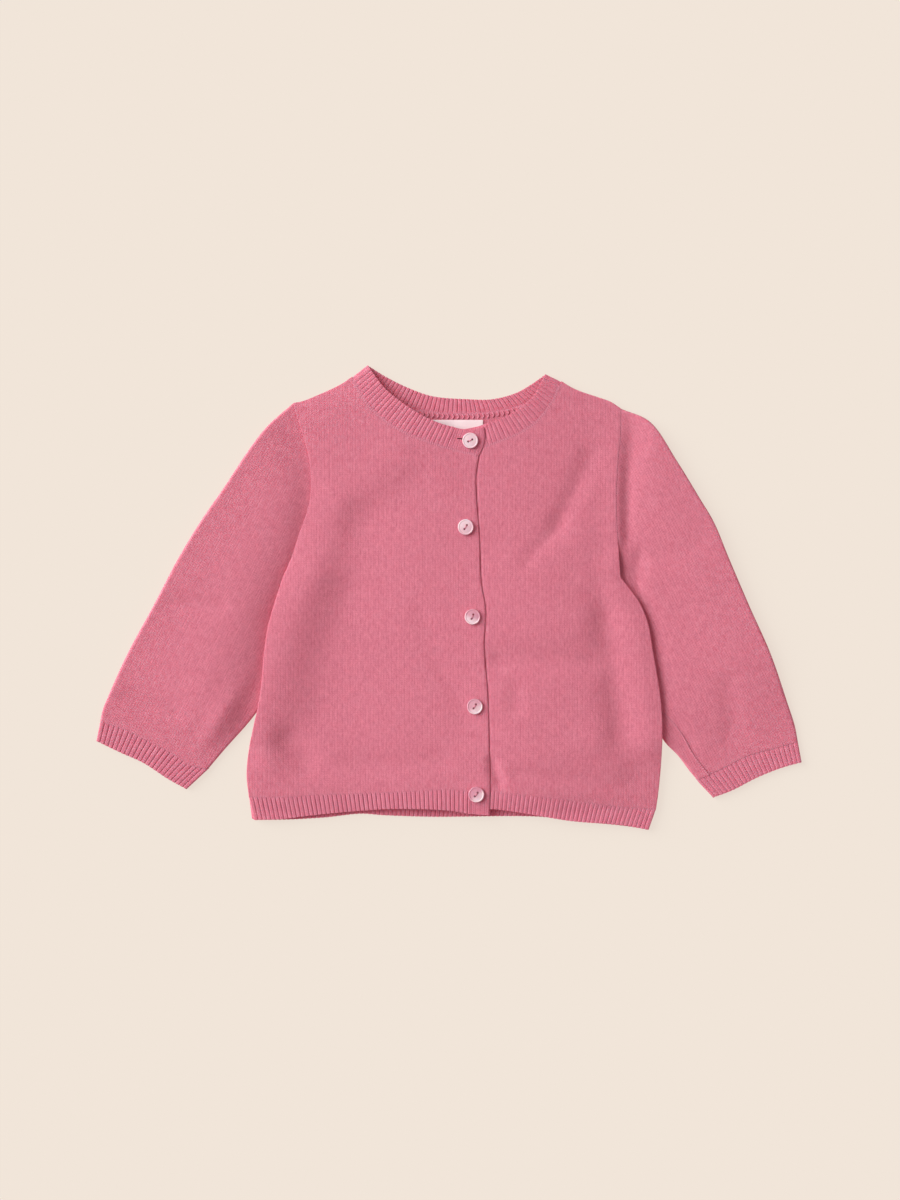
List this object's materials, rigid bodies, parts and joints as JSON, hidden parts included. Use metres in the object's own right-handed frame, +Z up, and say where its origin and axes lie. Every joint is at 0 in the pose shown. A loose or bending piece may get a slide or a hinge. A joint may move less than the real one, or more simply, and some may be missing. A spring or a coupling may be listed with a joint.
{
  "type": "baby cardigan",
  "caption": "Knitted baby cardigan with a ribbed crew neck, long sleeves and a buttoned front, laid flat with its front up.",
  "frame": {"origin": "middle of the outline of the laid-out cardigan, on the surface that it lies on", "axes": "+X to the wearer's left across both sleeves, +Y towards the neck, +Z up from the surface, through the front"},
  "size_m": [0.465, 0.3068, 0.0103],
  "materials": {
    "knit": "cotton stocking stitch, matt with a slight fuzz",
    "rib": "cotton one by one rib, matt",
    "label": "bare satin tape",
    "button": "pearly polyester, dished, two holes"
  },
  "bodies": {
    "root": {"back_panel": "knit", "front_right": "knit", "front_left": "knit", "sleeve_right": "knit", "sleeve_left": "knit", "back_hem": "rib", "front_right_hem": "rib", "front_left_hem": "rib", "cuff_right": "rib", "cuff_left": "rib", "neckband": "rib", "neck_label": "label", "button_1": "button", "button_2": "button", "button_3": "button", "button_4": "button", "button_5": "button"}
  },
  "joints": []
}
